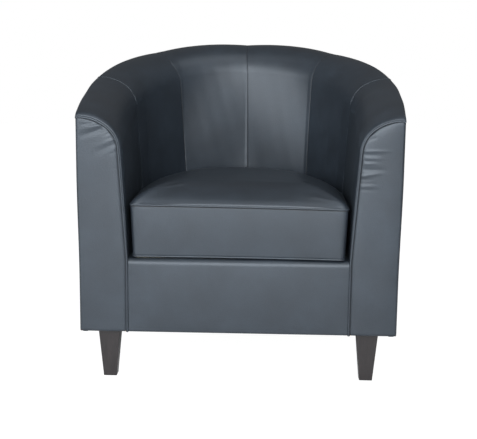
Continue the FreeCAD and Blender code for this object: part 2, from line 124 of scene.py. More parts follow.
def placeOfTurn(degrees):
    """Distance along the plan, from the right arm's front, at which it has turned so far."""
    turn = math.radians(degrees)
    for (_, _, radius, start, end), mark in zip(arcs, marks[1:]):
        if turn <= end + 1e-9:
            return mark + radius * (turn - start)


def wallPath(q):
    """Outer line of the plan at distance q: x, y, turn and side, mirrored past the middle of the back."""
    left = q > halfLength
    p = np.where(left, 2 * halfLength - q, q)
    turn = np.zeros_like(p)
    x = np.full_like(p, halfPath)
    y = wall["front"] + p
    for (cx, cy, radius, start, end), mark in zip(arcs, marks[1:]):
        inside = p > mark
        turn = np.where(inside, start + (p - mark) / radius, turn)
        x = np.where(inside, cx + radius * np.cos(turn), x)
        y = np.where(inside, cy + radius * np.sin(turn), y)
    return x, y, turn, np.where(left, -1.0, 1.0)


def rimHeight(y):
    """The rim rises in a straight line from the arm's front to the back."""
    run = wall["back"] - hemOut - wall["front"]
    return wall["armHeight"] + (wall["backHeight"] - wall["armHeight"]) * (y - wall["front"]) / run


def wallPoints(q, u, z):
    """Points set in from the plan by u at height z; q runs down the rows."""
    x, y, turn, side = wallPath(q if q.ndim > 1 else q[:, None])
    return np.stack([side * (x - u * np.cos(turn)), y - u * np.sin(turn), z + 0 * x], axis=-1)


def wallSection(v, rim, depth=0.0, full=0.0, bulge=0.0, foamBulge=0.0):
    """Hem, rim corner, crown arc, shoulder arc, leaning face and tuck, one unit of v each, as inset and height.
    The padding swells the arcs by full, and the face by full plus half sines: the foam's and the panel's own."""
    a1 = math.radians(wall["crownTurn"])
    crown = wall["crownRadius"] - depth + full
    shoulder = wall["shoulderRadius"] - depth + full
    corner = wall["rimCorner"] - depth
    reach = wall["crownRadius"] - wall["shoulderRadius"]
    cu, cz = crownInset + reach * math.sin(a1), rim - wall["crownRadius"] + reach * math.cos(a1)
    du, dz = faceInset - depth - cu, wall["leanStart"] - cz
    first = math.pi / 2 - a1
    last = np.arctan2(dz, du) + np.arccos(shoulder / np.hypot(du, dz))
    footU = faceInset - depth
    tangentU, tangentZ = cu + shoulder * np.cos(last), cz + shoulder * np.sin(last)
    f = np.clip(v - 4, 0, 1)
    shown = (tangentZ - wall["bulgeFoot"]) / (tangentZ - wall["leanStart"])
    rise = full * np.clip(v - 1, 0, 1)
    t1 = math.pi - math.pi / 2 * np.clip(v - 1, 0, 1)
    t2 = math.pi / 2 - a1 * np.clip(v - 2, 0, 1)
    t3 = first + (last - first) * np.clip(v - 3, 0, 1)
    steps = [v <= 1, v <= 2, v <= 3, v <= 4, v <= 5, v > 5]
    u = np.select(steps, [
        crownInset - corner + 0 * rim,
        crownInset + corner * np.cos(t1) + 0 * rim,
        crownInset + crown * np.cos(t2) + 0 * rim,
        cu + shoulder * np.cos(t3),
        tangentU + (footU - tangentU) * f + foamBulge * np.sin(np.pi * f)
        + bulge * np.sin(np.pi * np.clip(f / shown, 0, 1)),
        footU + 0 * rim,
    ])
    z = np.select(steps, [
        rim - wall["hemDrop"] + v * (wall["hemDrop"] - wall["rimCorner"]),
        rim - wall["rimCorner"] + corner * np.sin(t1) + rise,
        rim - wall["crownRadius"] + crown * np.sin(t2),
        cz + shoulder * np.sin(t3),
        tangentZ + (wall["leanStart"] - tangentZ) * f,
        wall["leanStart"] + (wall["tuck"] - wall["leanStart"]) * (v - 5) + 0 * rim,
    ])
    return u, z


# The upper arms stand a little proud of the frame's straight sides, and their tops are softer than the foam
armBow = {
    "side": 3.5 * mm,          # outer cover and facing
    "hemIn": 3.2 * mm,         # the hem lies closer to them at the front
    "behind": 4.0 * mm,        # and further out behind
    "up": 5.5 * mm,
    "rise": (0.0, 0.13),       # distances from the front over which this comes and goes
    "ease": (0.20, 0.30),
    "fade": (0.40, 0.52),
    "heights": (0.24, 0.50),
    "right": 0.95,
    "left": 0.55,
}


def smooth(a, b, x):
    t = np.clip((x - a) / (b - a), 0, 1)
    return t * t * (3 - 2 * t)


def bowArms(points, panel):
    """Moves the outside of the upper arms outwards, and a panel's crown upwards, by distance from the front."""
    x, y, z = points[..., 0], points[..., 1] - wall["front"], points[..., 2]
    hump = smooth(*armBow["rise"], y) * (1 - 0.5 * smooth(*armBow["ease"], y)) * (1 - smooth(*armBow["fade"], y))
    share = np.where(x > 0, armBow["right"], armBow["left"])
    out = armBow["side"] * (1 - smooth(*armBow["fade"], y))
    moved = points.copy()
    if panel:
        out = out - armBow["hemIn"] * np.exp(-y / 0.05) + armBow["behind"] * hump * share
        crown = smooth(-0.07, -0.015, z - rimHeight(points[..., 1]))
        moved[..., 2] += armBow["up"] * hump * share * crown
    moved[..., 0] += np.sign(x) * out * smooth(*armBow["heights"], z) * smooth(0.30, 0.36, np.abs(x))
    return moved


def linear(code, alpha=1.0):
    """An sRGB hex colour as the linear values that the shader takes."""
    out = []
    for i in (1, 3, 5):
        c = int(code[i:i + 2], 16) / 255
        out.append(c / 12.92 if c <= 0.04045 else ((c + 0.055) / 1.055) ** 2.4)
    return (*out, alpha)


def wire(tree, node, links):
    """Links outputs, each given as a node and its output, into a node's sockets."""
    for key, (source, output) in links.items():
        tree.links.new(source.outputs[output], node.inputs[key])


def addNode(tree, kind, values=None, links=None, **settings):
    """Adds one node with its settings, its socket values and what is linked into it."""
    node = tree.nodes.new(kind)
    for key, value in settings.items():
        setattr(node, key, value)
    for key, value in (values or {}).items():
        node.inputs[key].default_value = value
    wire(tree, node, links or {})
    return node


def newMaterial(name, **shader):
    """A material with one principled shader, its constant values set on its own sockets."""
    material = bpy.data.materials.new(name)
    material.use_nodes = True
    tree = material.node_tree
    tree.nodes.clear()
    surface = addNode(tree, "ShaderNodeBsdfPrincipled", shader)
    addNode(tree, "ShaderNodeOutputMaterial", links={"Surface": (surface, "BSDF")})
    place = addNode(tree, "ShaderNodeTexCoord")
    return material, tree, surface, place


def colourRamp(tree, source, output, stops):
    ramp = addNode(tree, "ShaderNodeValToRGB", links={"Fac": (source, output)})
    while len(ramp.color_ramp.elements) < len(stops):
        ramp.color_ramp.elements.new(0.5)
    for element, (position, colour) in zip(ramp.color_ramp.elements, stops):
        element.position = position
        element.color = colour if len(colour) == 4 else linear(colour)
    return ramp


leatherLook = {
    "colour": "#20262d",      # dark slate hide
    "pale": "#272e36",        # where the finish has rubbed
    "dark": "#1b2026",        # pores and folds
    "shine": "#eef6ff",       # the spray finish reflects a little blue
    "grain": 2.6 * mm,        # real pores are about 1 mm; drawn coarser so that they show
    "pores": 0.7 * mm,
    "mottle": 90 * mm,
    "relief": 0.35 * mm,
    "rough": (0.40, 0.50),
    "specular": 0.62,
}


def makeLeather(name, look):
    """Bonded leather, embossed and spray finished: even colour, fine pebble grain, a soft wide gloss."""
    material, tree, surface, place = newMaterial(
        name, **{"Specular IOR Level": look["specular"], "Specular Tint": linear(look["shine"])})
    at = (place, "Object")
    warp = addNode(tree, "ShaderNodeTexNoise", {"Scale": 0.12 / look["grain"], "Detail": 2.0}, {"Vector": at})
    bend = addNode(tree, "ShaderNodeVectorMath", {1: (0.5, 0.5, 0.5)}, {0: (warp, "Color")}, operation="SUBTRACT")
    shift = addNode(tree, "ShaderNodeVectorMath", {"Scale": look["grain"] * 2}, {0: (bend, 0)}, operation="SCALE")
    moved = addNode(tree, "ShaderNodeVectorMath", links={0: at, 1: (shift, 0)}, operation="ADD")
    pebble = addNode(tree, "ShaderNodeTexVoronoi", {"Scale": 1 / look["grain"]}, {"Vector": (moved, 0)},
                     feature="SMOOTH_F1")
    pores = addNode(tree, "ShaderNodeTexNoise", {"Scale": 1 / look["pores"], "Detail": 3.0}, {"Vector": at})
    mottle = addNode(tree, "ShaderNodeTexNoise", {"Scale": 1 / look["mottle"], "Detail": 5.0, "Roughness": 0.6},
                     {"Vector": at})
    relief = addNode(tree, "ShaderNodeMath", {1: 0.35}, {0: (pores, 0)}, operation="MULTIPLY")
    height = addNode(tree, "ShaderNodeMath", links={0: (pebble, "Distance"), 1: (relief, 0)}, operation="ADD")
    bump = addNode(tree, "ShaderNodeBump", {"Strength": 0.35, "Distance": look["relief"]}, {"Height": (height, 0)})
    tint = colourRamp(tree, mottle, 0, [(0.25, look["dark"]), (0.5, look["colour"]), (0.78, look["pale"])])
    pits = colourRamp(tree, pebble, "Distance", [(0.0, "#ffffff"), (0.75, "#d4d4d4")])
    colour = addNode(tree, "ShaderNodeMix", {0: 0.6}, {6: (tint, 0), 7: (pits, 0)}, data_type="RGBA",
                     blend_type="MULTIPLY")
    rough = addNode(tree, "ShaderNodeMapRange", {"To Min": look["rough"][0], "To Max": look["rough"][1]},
                    {"Value": (mottle, 0)})
    wire(tree, surface, {"Base Color": (colour, 2), "Roughness": (rough, 0), "Normal": (bump, 0)})
    return material


def makeWood(name, pale, dark, ringWidth, stretch, rough, coat, axis=2):
    """Timber: long fibres along one axis, pores drawn out with them, under a stain or bare."""
    material, tree, surface, place = newMaterial(name, **{"Coat Weight": coat, "Coat Roughness": 0.25})
    scale = [1.0, 1.0, 1.0]
    scale[axis] = 1 / stretch
    drawn = addNode(tree, "ShaderNodeMapping", {"Scale": scale}, {"Vector": (place, "Object")})
    rings = addNode(tree, "ShaderNodeTexNoise", {"Scale": 1 / ringWidth, "Detail": 6.0, "Roughness": 0.65,
                                                 "Distortion": 0.6}, {"Vector": (drawn, 0)})
    fibres = addNode(tree, "ShaderNodeTexNoise", {"Scale": 6 / ringWidth, "Detail": 3.0}, {"Vector": (drawn, 0)})
    tint = colourRamp(tree, rings, 0, [(0.3, dark), (0.7, pale)])
    pore = colourRamp(tree, fibres, 0, [(0.35, "#8c8c8c"), (0.5, "#ffffff")])
    colour = addNode(tree, "ShaderNodeMix", {0: 0.7}, {6: (tint, 0), 7: (pore, 0)}, data_type="RGBA",
                     blend_type="MULTIPLY")
    bump = addNode(tree, "ShaderNodeBump", {"Strength": 0.25, "Distance": 0.2 * mm}, {"Height": (fibres, 0)})
    gloss = addNode(tree, "ShaderNodeMapRange", {"To Min": rough[0], "To Max": rough[1]}, {"Value": (rings, 0)})
    wire(tree, surface, {"Base Color": (colour, 2), "Roughness": (gloss, 0), "Normal": (bump, 0)})
    return material


def makeSpeckled(name, pale, dark, speck, rough, relief, **shader):
    """Pressed, spun, foamed or felted stuff: small irregular specks and a matt or satin face."""
    material, tree, surface, place = newMaterial(name, **shader)
    specks = addNode(tree, "ShaderNodeTexNoise", {"Scale": 1 / speck, "Detail": 6.0, "Roughness": 0.7},
                     {"Vector": (place, "Object")})
    cells = addNode(tree, "ShaderNodeTexVoronoi", {"Scale": 0.6 / speck}, {"Vector": (place, "Object")})
    tint = colourRamp(tree, specks, 0, [(0.32, dark), (0.68, pale)])
    height = addNode(tree, "ShaderNodeMath", links={0: (specks, 0), 1: (cells, 0)}, operation="ADD")
    bump = addNode(tree, "ShaderNodeBump", {"Strength": 0.5, "Distance": relief}, {"Height": (height, 0)})
    gloss = addNode(tree, "ShaderNodeMapRange", {"To Min": rough[0], "To Max": rough[1]}, {"Value": (specks, 0)})
    wire(tree, surface, {"Base Color": (tint, 0), "Roughness": (gloss, 0), "Normal": (bump, 0)})
    return material


leather = makeLeather("bonded leather, embossed and spray finished", leatherLook)
stainedBeech = makeWood("beech, espresso stained, satin lacquer", "#231c1d", "#130e0f", 9 * mm, 14, (0.3, 0.45), 0.3)
birchPly = makeWood("birch plywood, sawn", "#d9bd90", "#b8935f", 12 * mm, 10, (0.6, 0.75), 0.0, axis=0)
hardboard = makeSpeckled("hardboard, pressed", "#916a49", "#6d4c33", 3 * mm, (0.55, 0.7), 0.1 * mm)
foam = makeSpeckled("polyurethane foam, cut", "#eee6cc", "#d8cda9", 2 * mm, (0.9, 1.0), 0.5 * mm)
felt = makeSpeckled("needled felt", "#85827c", "#5a5854", 4 * mm, (0.9, 1.0), 0.5 * mm)
spunCloth = makeSpeckled("spun-bonded polypropylene cloth", "#26262a", "#141416", 2.5 * mm, (0.75, 0.9), 0.3 * mm)
zincSteel = makeSpeckled("steel, zinc plated", "#b4b6b8", "#8d9093", 5 * mm, (0.28, 0.42), 0.02 * mm, Metallic=1.0)
blackZinc = makeSpeckled("zinc casting, black lacquered", "#2d2f33", "#1d1f22", 3 * mm, (0.3, 0.4), 0.02 * mm)
# Stitching drawn darker than the leather; laid in the seam grooves it is partly the real seam and partly painted shade
# that draws the grooves' dark lines.
seamShadeThread = makeSpeckled("polyester sewing thread", "#191b1f", "#0e0f12", 1 * mm, (0.6, 0.8), 0.1 * mm)
zipNylon = makeSpeckled("nylon zip tape, woven", "#24272c", "#15171a", 1.2 * mm, (0.6, 0.75), 0.15 * mm)
print("materials made")


def gridFaces(rows, columns, closeRows=False, closeColumns=False):
    """Quads of a grid of points numbered row by row."""
    i = np.arange(rows if closeRows else rows - 1)
    j = np.arange(columns if closeColumns else columns - 1)
    i, j = np.meshgrid(i, j, indexing="ij")
    i2, j2 = (i + 1) % rows, (j + 1) % columns
    return np.stack([i * columns + j, i2 * columns + j, i2 * columns + j2, i * columns + j2], -1).reshape(-1, 4)


def newPiece(name, points, faces, material, body="chair", replaced=()):
    """A mesh object at the origin, its place in its mesh, riding on a body."""
    mesh = bpy.data.meshes.new(name)
    faces = faces if isinstance(faces, list) else faces.tolist()
    mesh.from_pydata(points.reshape(-1, 3).tolist(), [], faces)
    mesh.update()
    mesh.shade_smooth()
    mesh.materials.append(material)
    piece = bpy.data.objects.new(name, mesh)
    bpy.context.scene.collection.objects.link(piece)
    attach(piece, body)
    if replaced:
        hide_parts(*replaced)
    return piece


def outwards(points, faces, direction):
    """Turns a grid's faces over when its middle one looks away from a direction."""
    rows, columns = points.shape[:2]
    a, b, c = (points.reshape(-1, 3)[i] for i in faces[(rows // 2) * (columns - 1) + columns // 2][:3])
    return faces if np.dot(np.cross(b - a, c - a), direction) > 0 else faces[:, ::-1]


def gridNormals(points):
    """Unit normals of a grid of points, from its differences along rows and columns."""
    a, b = np.gradient(points, axis=0), np.gradient(points, axis=1)
    n = np.cross(a, b)
    return n / np.maximum(np.linalg.norm(n, axis=-1, keepdims=True), 1e-12)


def thicken(piece):
    """Gives a face of leather its thickness, inwards."""
    solid = piece.modifiers.new("thickness", "SOLIDIFY")
    solid.thickness = wall["leather"]
    solid.offset = -1.0


def makeSkin(name, points, direction, replaced):
    """A leather piece on a grid of points, its outside towards a direction, thickened inwards."""
    faces = outwards(points, gridFaces(*points.shape[:2]), direction)
    piece = newPiece(name, points, faces, leather, replaced=replaced)
    thicken(piece)


def wander(x, wave, seed):
    """A smooth irregular line from -1 to 1: four sines with seeded phases around one wavelength."""
    rng = np.random.default_rng(seed)
    total = np.zeros_like(x)
    for k in range(4):
        total += np.sin(2 * np.pi * x / (wave * rng.uniform(0.6, 1.7)) + rng.uniform(0, 2 * np.pi))
    return total / 4


def tube(path, radius, sides=14, closed=False, swell=0.0):
    """A round tube on a path: rings across it, in planes that hold the tangent's least axis."""
    tangent = np.roll(path, -1, 0) - np.roll(path, 1, 0)
    if not closed:
        tangent[0], tangent[-1] = path[1] - path[0], path[-1] - path[-2]
    tangent /= np.linalg.norm(tangent, axis=1, keepdims=True)
    guide = np.zeros_like(path)
    guide[:, np.argmin(np.abs(tangent).sum(0))] = 1
    side = np.cross(tangent, guide)
    side /= np.linalg.norm(side, axis=1, keepdims=True)
    other = np.cross(tangent, side)
    a = np.linspace(0, 2 * np.pi, sides, endpoint=False)[None, :, None]
    r = np.broadcast_to(radius * (1 + swell), (len(path),))[:, None, None]
    return path[:, None] + r * (np.cos(a) * side[:, None] + np.sin(a) * other[:, None])


def resample(path, step, closed=False):
    """The same line with its points one step apart."""
    line = np.vstack([path, path[:1]]) if closed else path
    length = np.concatenate([[0], np.cumsum(np.linalg.norm(np.diff(line, axis=0), axis=1))])
    count = max(int(round(length[-1] / step)), 8)
    at = np.linspace(0, length[-1], count + 1)
    out = np.stack([np.interp(at, length, line[:, k]) for k in range(3)], 1)
    return out[:-1] if closed else out


def makeTube(name, path, radius, material, body="chair", replaced=(), closed=False, seed=1):
    """A cord in its skin along a path, slightly uneven where it is open; an open one has closed ends."""
    swell = 0.0 if closed else 0.03 * wander(np.arange(len(path)) * 1.0, 18, seed)
    points = tube(path, radius, closed=closed, swell=swell)
    sides = points.shape[1]
    faces = gridFaces(len(path), sides, closeRows=closed, closeColumns=True)
    first = points.reshape(-1, 3)[faces[0]]
    normal = np.cross(first[1] - first[0], first[2] - first[0])
    if np.dot(normal, first[0] - path[0]) < 0:
        faces = faces[:, ::-1]
    if not closed:
        ring = np.arange(sides)
        last = (len(path) - 1) * sides
        fan = np.stack([ring[:-2] * 0, ring[1:-1], ring[2:], ring[2:]], 1)
        faces = faces.tolist() + fan[:, :3].tolist() + (fan[:, 2::-1] + last).tolist()
    return newPiece(name, points, faces, material, body, replaced)


# Sewn inner panels: how full they are between seams and how the seams draw them in
panelLook = {
    "across": 90,
    "samples": (4, 6, 20, 20, 64, 3),
    "full": 2.5 * mm,
    "bulge": 6.0 * mm,
    "steep": 2.2,             # how soon past a seam a panel is full
    "seamDip": 0.4 * mm,
    "seamReach": 2.0 * mm,
    # radius of the dark stitching in the back seams, partly painted shade for their grooves
    "seamShadeThread": 0.6 * mm,
    "welt": 1.3 * mm,         # the arm seams stand up a little over the crown
    "sinks": 1.6 * mm,
    "roll": 16 * mm,          # the arm's front edge turns down to the piping over this length
    "armFade": 0.11,          # and the swelling behind it fades over this length
    "overPiping": 3.4 * mm,   # it rolls over the back of the piping
    "edgeDepth": 3.5 * mm,
    "lipFront": 7 * mm,       # the hem hangs this far at the front, and to hemDrop further back
    "lipIn": 1.7 * mm,
    "pucker": 0.35 * mm,
    "puckerWave": 26 * mm,
    "puckerReach": 16 * mm,
    "sway": 0.3 * mm,
}


def sectionSteps():
    steps = [np.linspace(i, i + 1, n, endpoint=False) for i, n in enumerate(panelLook["samples"])]
    return np.concatenate(steps + [[6.0]])


whole = 2 * halfLength
armPlace, backPlace = placeOfTurn(wall["armSeam"]), placeOfTurn(wall["backSeam"])


foamLook = {"face": (0.6 * mm, 2.5 * mm, 0.6 * mm), "crownHump": 2.0 * mm, "faceHump": 5.0 * mm}


def foamShape(q):
    """How far the foam swells the crown and the face along the plan: straight runs over the arm, then a half
    sine over each of its own side and back panels."""
    p = np.minimum(q, whole - q)
    full, bulge = np.zeros_like(p), np.interp(p, [0, bendY - wall["front"], armPlace], foamLook["face"])
    for start, end in ((armPlace, backPlace), (backPlace, halfLength)):
        hump = np.sin(np.pi * np.clip((p - start) / (end - start), 0, 1))
        full, bulge = full + foamLook["crownHump"] * hump, bulge + foamLook["faceHump"] * hump
    return full, bulge


def seamLine(seam, v):
    """Where a seam lies along the plan: moved by its top value on the crown, easing to its foot value."""
    place, top, foot = seam
    return place + top + (foot - top) * np.clip((v - 3.2) / 1.8, 0, 1)


def makePanel(name, start, end, replaced, amount=1.0, armSwell=0.0, sign=1, seed=1):
    """A leather panel of the wall's inside between two seams."""
    share = np.linspace(0, 1, panelLook["across"])
    share = 0.5 - 0.5 * np.cos(np.pi * share) * (0.35 + 0.65 * np.abs(np.cos(np.pi * share)))
    share[0], share[-1] = 0.0, 1.0
    frontEdge = armSwell > 0
    if frontEdge:
        share = np.sort(np.concatenate([share, [0.0003], np.linspace(0, 0.06, 14)[1:-1]]))
    v = sectionSteps()[None, :]
    q = seamLine(start, v) * (1 - share[:, None]) + seamLine(end, v) * share[:, None]
    _, y, _, _ = wallPath(q)
    rim = rimHeight(y)
    run = q - q[:1]
    plump = (1 - np.abs(2 * share - 1) ** panelLook["steep"])[:, None] * amount
    foamFull, foamBulge = foamShape(q)
    full, bulge = foamFull + panelLook["full"] * plump, panelLook["bulge"] * plump
    u, z = wallSection(v, rim, 0.0, full, bulge, foamBulge)
    lip = np.clip(1 - v, 0, 1)
    u = u + panelLook["lipIn"] * lip
    if frontEdge:
        z = z + (wall["hemDrop"] - panelLook["lipFront"]) * lip * np.exp(-run / 0.03)
    points = wallPoints(q, u, z)
    normals = gridNormals(points)
    inward = wallPoints(q, *wallSection(v, rim, 5 * mm)) - wallPoints(q, *wallSection(v, rim))
    if np.sum(normals * inward) > 0:
        normals = -normals
    length = np.cumsum(np.linalg.norm(np.diff(points, axis=1, prepend=points[:, :1]), axis=-1), axis=1)
    away = np.minimum(1.0 if frontEdge else run, q[-1:] - q)
    onFace = np.clip(v - 1.5, 0, 1)
    move = -panelLook["seamDip"] * np.exp(-(away / panelLook["seamReach"]) ** 2) * onFace
    if frontEdge:
        edge = np.clip(1 - run / panelLook["roll"], 0, 1)
        fade = np.exp(-(np.maximum(run - panelLook["roll"], 0) / panelLook["armFade"]) ** 2)
        swell = armSwell * np.sqrt(1 - edge ** 2) * fade
        move = move * (edge < 1) + swell * smooth(1.6, 2.4, v) * (1 - np.clip(v - 4, 0, 1))
        points[..., 2] += swell * smooth(0.6, 1.6, v) * (1 - smooth(1.6, 2.4, v))
        move[0] -= panelLook["edgeDepth"]
    gather = wander(length, panelLook["puckerWave"], seed) * np.exp(-away / panelLook["puckerReach"])
    move = move + panelLook["pucker"] * gather * onFace
    move = move + panelLook["sway"] * wander(length + 3 * q, 0.25, seed + 7) * plump * onFace
    points = bowArms((points + normals * move[..., None]) * (sign, 1, 1), panel=True)
    direction = normals[len(q) // 2, points.shape[1] // 2] * (sign, 1, 1)
    makeSkin(name, points, direction, replaced)


skinFront = low("arm_cover_right", "y") - wall["front"] - panelLook["overPiping"]
# The sewn lines from right to left: place along the plan, and how far the hand-pulled covers moved them
seams = {
    "front": (skinFront, 0.0, 0.0),
    "armRight": (armPlace, -58 * mm, -58 * mm),
    "backRight": (backPlace, -19 * mm, -12 * mm),
    "middle": (halfLength, -1 * mm, -12 * mm),
    "backLeft": (whole - backPlace, 31 * mm, -13 * mm),
    "armLeft": (whole - armPlace, 66 * mm, 66 * mm),
    "armLeftMirrored": (armPlace, -66 * mm, -66 * mm),
}
panels = (
    ("armPanelRight", "front", "armRight", ("arm_cover_right",), 0.4, 4.5 * mm),
    ("armPanelLeft", "front", "armLeftMirrored", ("arm_cover_left",), 0.4, 6.5 * mm, -1),
    ("sidePanelRight", "armRight", "backRight", ("side_cover_right",), 0.7, 0),
    ("backPanelRight", "backRight", "middle", ("back_cover_right",), 1.0, 0),
    ("backPanelLeft", "middle", "backLeft", ("back_cover_left",), 1.0, 0),
    ("sidePanelLeft", "backLeft", "armLeft", ("side_cover_left",), 0.7, 0),
)
for number, panel in enumerate(panels):
    makePanel(panel[0], seams[panel[1]], seams[panel[2]], *panel[3:], seed=20 + number)


def makeSeamTube(name, material, radius, sunk, sinks=0.0):
    """The sewn line between two panels, sunk by one depth and by another more on the face: dark stitching in the
    groove, which is partly painted shade drawing the groove's dark line, or the seam's own roll of leather over the
    arm."""
    v = np.linspace(1.0, 5.6, 260)[None, :]
    q = seamLine(seams[name], v)
    _, y, _, _ = wallPath(q)
    full, bulge = foamShape(q)
    u, z = wallSection(v, rimHeight(y), 0.0, full - (sunk + sinks * smooth(3.5, 4.5, v)), 0.0, bulge)
    path = resample(bowArms(wallPoints(q, u, z)[0], panel=True), 3 * mm)
    makeTube("seam" + name[0].upper() + name[1:], path, radius, material)


# The back seams get the dark stitching, partly painted shade for their grooves; the arm seams get rolls of leather.
for name, covers in (("backRight", "back_cover_right"), ("middle", "back_cover_right"),
                     ("backLeft", "back_cover_left")):
    makeSeamTube(name, seamShadeThread, panelLook["seamShadeThread"], panelLook["seamDip"] + 0.2 * mm)
for name, covers in (("armRight", "side_cover_right"), ("armLeft", "side_cover_left")):
    makeSeamTube(name, leather, panelLook["welt"], 0.6 * mm, panelLook["sinks"])
print("inner panels made")


outerLook = {"fold": 5 * mm, "turnUnder": 14 * mm, "wave": 0.5 * mm, "rows": 60, "across": 120, "tuck": 2 * mm}


def makeOuter(name, start, end, replaced, foldStart, direction, seed, sign=1):
    """An outer cover, flat over its board, folded under at the foot and tucked under the hem at the top."""
    q = np.linspace(start, end, outerLook["across"])
    _, y, _, _ = wallPath(q)
    rim = rimHeight(y)[:, None]
    fold = outerLook["fold"]
    t = np.linspace(0, math.pi / 2, 6)[None, :]
    under = np.linspace(outerLook["turnUnder"], fold, 4)[None, :-1]
    lowZ = wall["underside"]
    top = rim - wall["rimCorner"] - outerLook["tuck"]
    rise = np.linspace(0, 1, outerLook["rows"])[None, 1:]
    zero = np.zeros_like(rim)
    u = np.concatenate([under + zero, fold - fold * np.sin(t) + zero, rise * 0 + zero], 1)
    z = np.concatenate([lowZ + 0 * under + zero, lowZ + fold - fold * np.cos(t) + zero,
                        lowZ + fold + (top - lowZ - fold) * rise], 1)
    points = wallPoints(q, u, z)
    normals = gridNormals(points)
    sway = wander(q[:, None] + 0.4 * z, 0.18, seed) * wander(z, 0.3, seed + 1) * outerLook["wave"]
    sway = sway * np.clip((z - lowZ) / 0.05, 0, 1) * np.clip((top - z) / 0.05, 0, 1)
    points = points + normals * sway[..., None]
    if foldStart:
        along = np.clip(fold - (q - start), 0, fold)[:, None]
        points[..., 0] -= fold - np.sqrt(np.maximum(fold ** 2 - along ** 2, 0))
    makeSkin(name, bowArms(points * (sign, 1, 1), panel=False), direction, replaced)


coverStart = low("outer_cover_right", "y") - wall["front"]
makeOuter("outerCoverRight", coverStart, backPlace, ("outer_cover_right",), True, (1, 0, 0), 31)
makeOuter("outerCoverLeft", coverStart, backPlace, ("outer_cover_left",), True, (-1, 0, 0), 32, sign=-1)
makeOuter("outerCoverBack", backPlace, whole - backPlace, ("outer_cover_back",), False, (0, 1, 0), 33)
print("outer covers made")


facingLook = {
    "piping": 2.5 * mm,
    "rows": 260,
    "across": 80,
    "fold": 6 * mm,
    "full": 3.0 * mm,
    "seam": 0.9 * mm,         # the sewn line beside the piping, drawn as dark stitching: painted shade for the groove between facing and piping
    # creases pulled by the sewing, in mm: across and up at the piping, then at the far end, half width, height
    "creasesRight": (
        (286, 552, 341, 553, 3.0, 1.1), (286, 544, 325, 544, 3.5, -0.9), (287, 536, 326, 535, 3.0, 0.6),
        (286, 530, 318, 529, 3.0, -0.6), (286, 523, 312, 524, 2.8, 0.8), (286, 511, 334, 510, 5.0, -1.1),
        (280, 495, 320, 502, 3.5, 1.2), (277, 487, 305, 487, 3.0, -0.7), (276, 471, 318, 472, 3.5, 0.6),
        (275, 479, 312, 479, 3.0, -0.5), (273, 464, 318, 464, 3.5, -0.5), (297, 590, 312, 602, 2.6, -0.9),
        (300, 598, 316, 610, 2.6, -0.8), (292, 578, 312, 584, 3.0, -0.8),
    ),
    "creasesLeft": (
        (300, 600, 366, 575, 6.5, -2.5), (303, 609, 366, 590, 6.0, 1.2), (322, 607, 366, 604, 3.5, -0.9),
        (292, 588, 312, 579, 3.0, -1.0), (286, 578, 308, 570, 3.0, -0.9), (281, 566, 330, 538, 8.0, -1.2),
        (283, 572, 330, 552, 6.0, 0.8), (277, 545, 300, 536, 3.5, -0.6),
    ),
}


def creased(x, z, creases):
    """The height of creases at points: each a bell across its line, fading towards its far end."""
    total = np.zeros_like(x)
    for x0, z0, x1, z1, width, height in np.array(creases) * mm:
        along = ((x - x0) * (x1 - x0) + (z - z0) * (z1 - z0)) / ((x1 - x0) ** 2 + (z1 - z0) ** 2)
        t = np.clip(along, 0, 1)
        off = np.hypot(x - x0 - t * (x1 - x0), z - z0 - t * (z1 - z0))
        total += height * (1 - t * t * 0.9) * np.exp(-(off / width) ** 2)
    return total


def facingLine(depth, first=2.0, count=400):
    """The facing's inner outline: the wall's section at the front, set in by a depth, then straight down."""
    v = np.linspace(first, 5, count)[None, :]
    u, z = wallSection(v, np.array([[wall["armHeight"]]]), depth)
    line = np.stack([halfPath - u[0], np.full(count, 0.0), z[0]], 1)
    foot = np.array([[line[-1, 0], 0.0, wall["underside"]]])
    return np.vstack([line, foot])


def makeFacing(name, replaced, creases, sign, seed):
    """The arm's front: leather between the piping and the arm's outer corner, puckered round the curve."""
    look = facingLook
    inner = resample(facingLine(look["piping"]), 3 * mm)
    s = np.linspace(0, 1, look["rows"])
    at = np.linspace(0, 1, len(inner))
    inner = np.stack([np.interp(s, at, inner[:, k]) for k in range(3)], 1)
    outerX = halfPath
    topZ, lowZ = wall["armHeight"] - 3 * mm, wall["underside"]
    outer = np.stack([np.full_like(s, outerX), 0 * s, topZ + (lowZ - topZ) * s ** 1.15], 1)
    r = np.linspace(0, 1, look["across"])[None, :, None]
    points = inner[:, None] * (1 - r) + outer[:, None] * r
    awayInner = np.linalg.norm(points - inner[:, None], axis=-1)
    awayOuter = outerX - points[..., 0]
    awayFoot = points[..., 2] - lowZ
    surfaceY = low(replaced[0], "y")
    length = np.concatenate([[0], np.cumsum(np.linalg.norm(np.diff(inner, axis=0), axis=1))])[:, None]
    bow = np.tanh(awayInner / 0.018) * np.tanh(awayOuter / 0.03)
    proud = look["full"] * bow
    curve = np.exp(-((length - 0.12) / 0.08) ** 2)
    proud = proud + creased(points[..., 0], points[..., 2], creases) * np.tanh(awayOuter / 0.012)
    proud = np.maximum(proud, -0.3 * mm)
    small = wander(length, 9 * mm, seed + 3) * np.exp(-awayInner / (7 * mm)) * 0.35 * mm
    proud = proud + small * (0.3 + curve)
    proud = proud + 0.5 * mm * wander(points[..., 2] + 0.5 * points[..., 0], 0.11, seed + 5) * bow
    fold = look["fold"]
    edge = np.clip(fold - np.minimum(awayOuter, awayFoot), 0, fold)
    back = fold - np.sqrt(np.maximum(fold ** 2 - edge ** 2, 0))
    hollow = 2.0 * mm * np.exp(-(awayInner / (4.5 * mm)) ** 2)
    points[..., 1] = surfaceY - proud + back + hollow
    makeSkin(name, bowArms(points * (sign, 1, 1), panel=False), (0, -1, 0), replaced)


makeFacing("armFacingRight", ("arm_facing_right",), facingLook["creasesRight"], 1, 41)
makeFacing("armFacingLeft", ("arm_facing_left",), facingLook["creasesLeft"], -1, 47)

